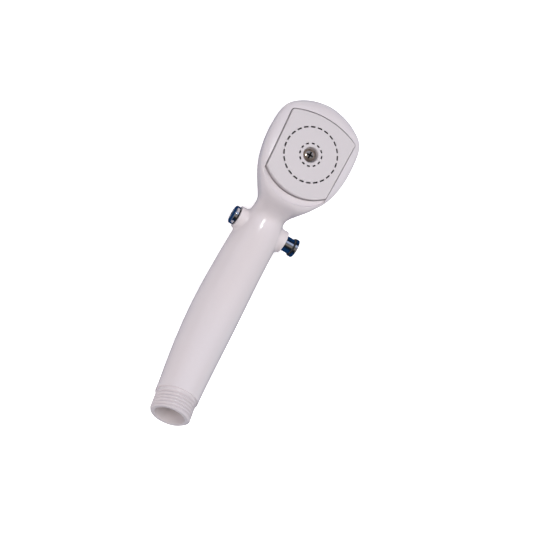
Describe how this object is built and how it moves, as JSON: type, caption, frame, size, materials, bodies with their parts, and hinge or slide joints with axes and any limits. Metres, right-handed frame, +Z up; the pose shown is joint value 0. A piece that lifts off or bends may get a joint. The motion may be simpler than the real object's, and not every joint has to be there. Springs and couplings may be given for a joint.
{
  "type": "handheld shower head",
  "caption": "White handheld shower head with a slotted spray face, a curved grip, a push-through pause valve across the neck and a threaded hose inlet.",
  "frame": {"origin": "centre of the bounding box in plan, on the surface the shower head lies on", "axes": "+Z up and out of the spray face, which leans back 11.2 degrees; +Y from the hose thread to the top of the head; +X to the right seen from the spray face with the head up, along the valve spool"},
  "size_m": [0.047, 0.1788, 0.0498],
  "materials": {
    "white_plastic": "glossy moulded white plastic with a faint warm pink tone",
    "face_plastic": "satin pale grey-white plastic, a shade cooler than the handle",
    "black_rubber": "black nitrile rubber",
    "chrome": "polished chrome plate on turned brass",
    "stainless": "bright stainless steel",
    "brass": "plain turned brass",
    "grey_plastic": "natural acetal"
  },
  "bodies": {
    "root": {"handle_body": "white_plastic", "face_plate": "face_plastic", "face_seal": "black_rubber", "distributor_disc": "grey_plastic", "face_screw": "stainless", "screw_seal": "black_rubber", "screw_insert": "brass", "flow_restrictor": "grey_plastic", "restrictor_seal": "black_rubber", "check_valve_cage": "grey_plastic", "cage_seal": "black_rubber", "check_valve_seat": "grey_plastic", "check_valve_spring": "stainless"},
    "spool": {"valve_spool": "chrome", "left_button": "chrome", "right_button": "chrome", "left_stop_washer": "black_rubber", "right_stop_washer": "black_rubber", "spool_seal_left": "black_rubber", "spool_seal_middle": "black_rubber", "spool_seal_right": "black_rubber"},
    "poppet": {"check_valve_poppet": "grey_plastic", "poppet_seal": "black_rubber"}
  },
  "joints": [
    {"name": "valve_slide", "type": "slide", "parent": "root", "child": "spool", "axis": [-1, 0, 0], "range_m": [0, 0.0048]},
    {"name": "check_valve_lift", "type": "slide", "parent": "root", "child": "poppet", "axis": [0, 0.8132, -0.582], "range_m": [0, 0.0025], "stiffness_N_per_m": 150, "springref_m": -0.002, "deforming": ["check_valve_spring"]}
  ]
}
